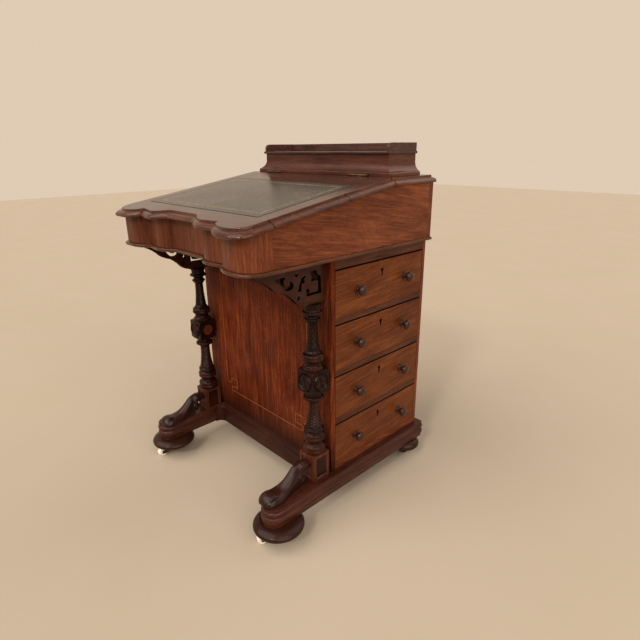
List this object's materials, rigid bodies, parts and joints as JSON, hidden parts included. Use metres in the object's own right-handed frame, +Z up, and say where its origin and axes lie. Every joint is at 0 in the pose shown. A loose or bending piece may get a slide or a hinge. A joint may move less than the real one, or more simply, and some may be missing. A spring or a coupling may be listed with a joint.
{
  "type": "davenport desk",
  "caption": "Small writing desk with a leather-topped slope lid, hinged stationery box, side drawers, turned columns on knee scrolls, sledge runners, bun feet and castors.",
  "frame": {"origin": "on the floor under the middle of the desk's bounding box", "axes": "+Z up, +Y from the sitter towards the back of the desk, +X towards the side with the working drawers"},
  "size_m": [0.5829, 0.5651, 0.8206],
  "materials": {
    "walnut": "polished figured walnut",
    "dark_walnut": "polished dark carved walnut",
    "interior_wood": "waxed mahogany",
    "leather": "worn skiver",
    "brass": "aged",
    "white_ceramic": "glazed"
  },
  "bodies": {
    "desk": {"castor_plates": "brass", "hinge_leaves_fixed": "brass", "feet_front": "dark_walnut", "feet_rear": "dark_walnut", "column_right": "dark_walnut", "column_left": "dark_walnut", "fret_bracket_right": "dark_walnut", "fret_bracket_left": "dark_walnut", "knee_scroll_right": "dark_walnut", "knee_scroll_left": "dark_walnut", "stationery_walls": "dark_walnut", "runner_right": "walnut", "runner_left": "walnut", "front_panel": "walnut", "back_panel": "walnut", "plinth_rail": "walnut", "drawer_rails": "walnut", "dummy_side": "walnut", "dummy_fronts": "walnut", "dummy_knobs": "walnut", "box_floor": "walnut", "box_front": "walnut", "box_side_right": "walnut", "box_side_left": "walnut", "box_back": "walnut", "flat_top": "walnut", "case_floor": "interior_wood", "interior_nest": "interior_wood"},
    "drawer_1": {"drawer_front_1": "walnut", "drawer_box_1": "interior_wood", "drawer_lock_1": "brass", "drawer_knobs_1": "walnut"},
    "drawer_2": {"drawer_front_2": "walnut", "drawer_box_2": "interior_wood", "drawer_lock_2": "brass", "drawer_knobs_2": "walnut"},
    "drawer_3": {"drawer_front_3": "walnut", "drawer_box_3": "interior_wood", "drawer_lock_3": "brass", "drawer_knobs_3": "walnut"},
    "drawer_4": {"drawer_front_4": "walnut", "drawer_box_4": "interior_wood", "drawer_lock_4": "brass", "drawer_knobs_4": "walnut"},
    "slope": {"slope_lid": "walnut", "leather": "leather", "hinge_leaves_lid": "brass"},
    "stationery_top": {"stationery_lid": "dark_walnut", "gallery": "dark_walnut", "hinge_leaves_stationery": "brass"},
    "small_drawer_right": {"interior_drawer_right": "interior_wood"},
    "small_drawer_left": {"interior_drawer_left": "interior_wood"},
    "swivel_front_right": {"castor_fork_front_right": "brass"},
    "wheel_front_right": {"castor_wheel_front_right": "white_ceramic"},
    "swivel_front_left": {"castor_fork_front_left": "brass"},
    "wheel_front_left": {"castor_wheel_front_left": "white_ceramic"},
    "swivel_rear_right": {"castor_fork_rear_right": "brass"},
    "wheel_rear_right": {"castor_wheel_rear_right": "white_ceramic"},
    "swivel_rear_left": {"castor_fork_rear_left": "brass"},
    "wheel_rear_left": {"castor_wheel_rear_left": "white_ceramic"}
  },
  "joints": [
    {"name": "drawer_1_slide", "type": "slide", "parent": "desk", "child": "drawer_1", "axis": [1, 0, 0], "range_m": [0, 0.3]},
    {"name": "drawer_2_slide", "type": "slide", "parent": "desk", "child": "drawer_2", "axis": [1, 0, 0], "range_m": [0, 0.3]},
    {"name": "drawer_3_slide", "type": "slide", "parent": "desk", "child": "drawer_3", "axis": [1, 0, 0], "range_m": [0, 0.3]},
    {"name": "drawer_4_slide", "type": "slide", "parent": "desk", "child": "drawer_4", "axis": [1, 0, 0], "range_m": [0, 0.3]},
    {"name": "slope_hinge", "type": "hinge", "parent": "desk", "child": "slope", "pos_m": [0, 0.1285, 0.75231], "axis": [-1, 0, 0], "range_deg": [0, 95]},
    {"name": "stationery_hinge", "type": "hinge", "parent": "desk", "child": "stationery_top", "pos_m": [0, 0.2553, 0.79661], "axis": [-1, 0, 0], "range_deg": [0, 95]},
    {"name": "small_drawer_right_slide", "type": "slide", "parent": "desk", "child": "small_drawer_right", "axis": [0, -1, 0], "range_m": [0, 0.1]},
    {"name": "small_drawer_left_slide", "type": "slide", "parent": "desk", "child": "small_drawer_left", "axis": [0, -1, 0], "range_m": [0, 0.1]},
    {"name": "swivel_front_right_turn", "type": "hinge", "parent": "desk", "child": "swivel_front_right", "pos_m": [0.2345, -0.2065, 0.015], "axis": [0, 0, 1], "continuous": true},
    {"name": "wheel_front_right_roll", "type": "hinge", "parent": "swivel_front_right", "child": "wheel_front_right", "pos_m": [0.22026, -0.24173, 0.0125], "axis": [0.9272, -0.3746, 0], "continuous": true},
    {"name": "swivel_front_left_turn", "type": "hinge", "parent": "desk", "child": "swivel_front_left", "pos_m": [-0.2345, -0.2065, 0.015], "axis": [0, 0, 1], "continuous": true},
    {"name": "wheel_front_left_roll", "type": "hinge", "parent": "swivel_front_left", "child": "wheel_front_left", "pos_m": [-0.2345, -0.2445, 0.0125], "axis": [1, 0, 0], "continuous": true},
    {"name": "swivel_rear_right_turn", "type": "hinge", "parent": "desk", "child": "swivel_rear_right", "pos_m": [0.2345, 0.2425, 0.015], "axis": [0, 0, 1], "continuous": true},
    {"name": "wheel_rear_right_roll", "type": "hinge", "parent": "swivel_rear_right", "child": "wheel_rear_right", "pos_m": [0.19708, 0.2491, 0.0125], "axis": [-0.1736, -0.9848, 0], "continuous": true},
    {"name": "swivel_rear_left_turn", "type": "hinge", "parent": "desk", "child": "swivel_rear_left", "pos_m": [-0.2345, 0.2425, 0.015], "axis": [0, 0, 1], "continuous": true},
    {"name": "wheel_rear_left_roll", "type": "hinge", "parent": "swivel_rear_left", "child": "wheel_rear_left", "pos_m": [-0.19708, 0.2491, 0.0125], "axis": [-0.1736, 0.9848, 0], "continuous": true}
  ]
}
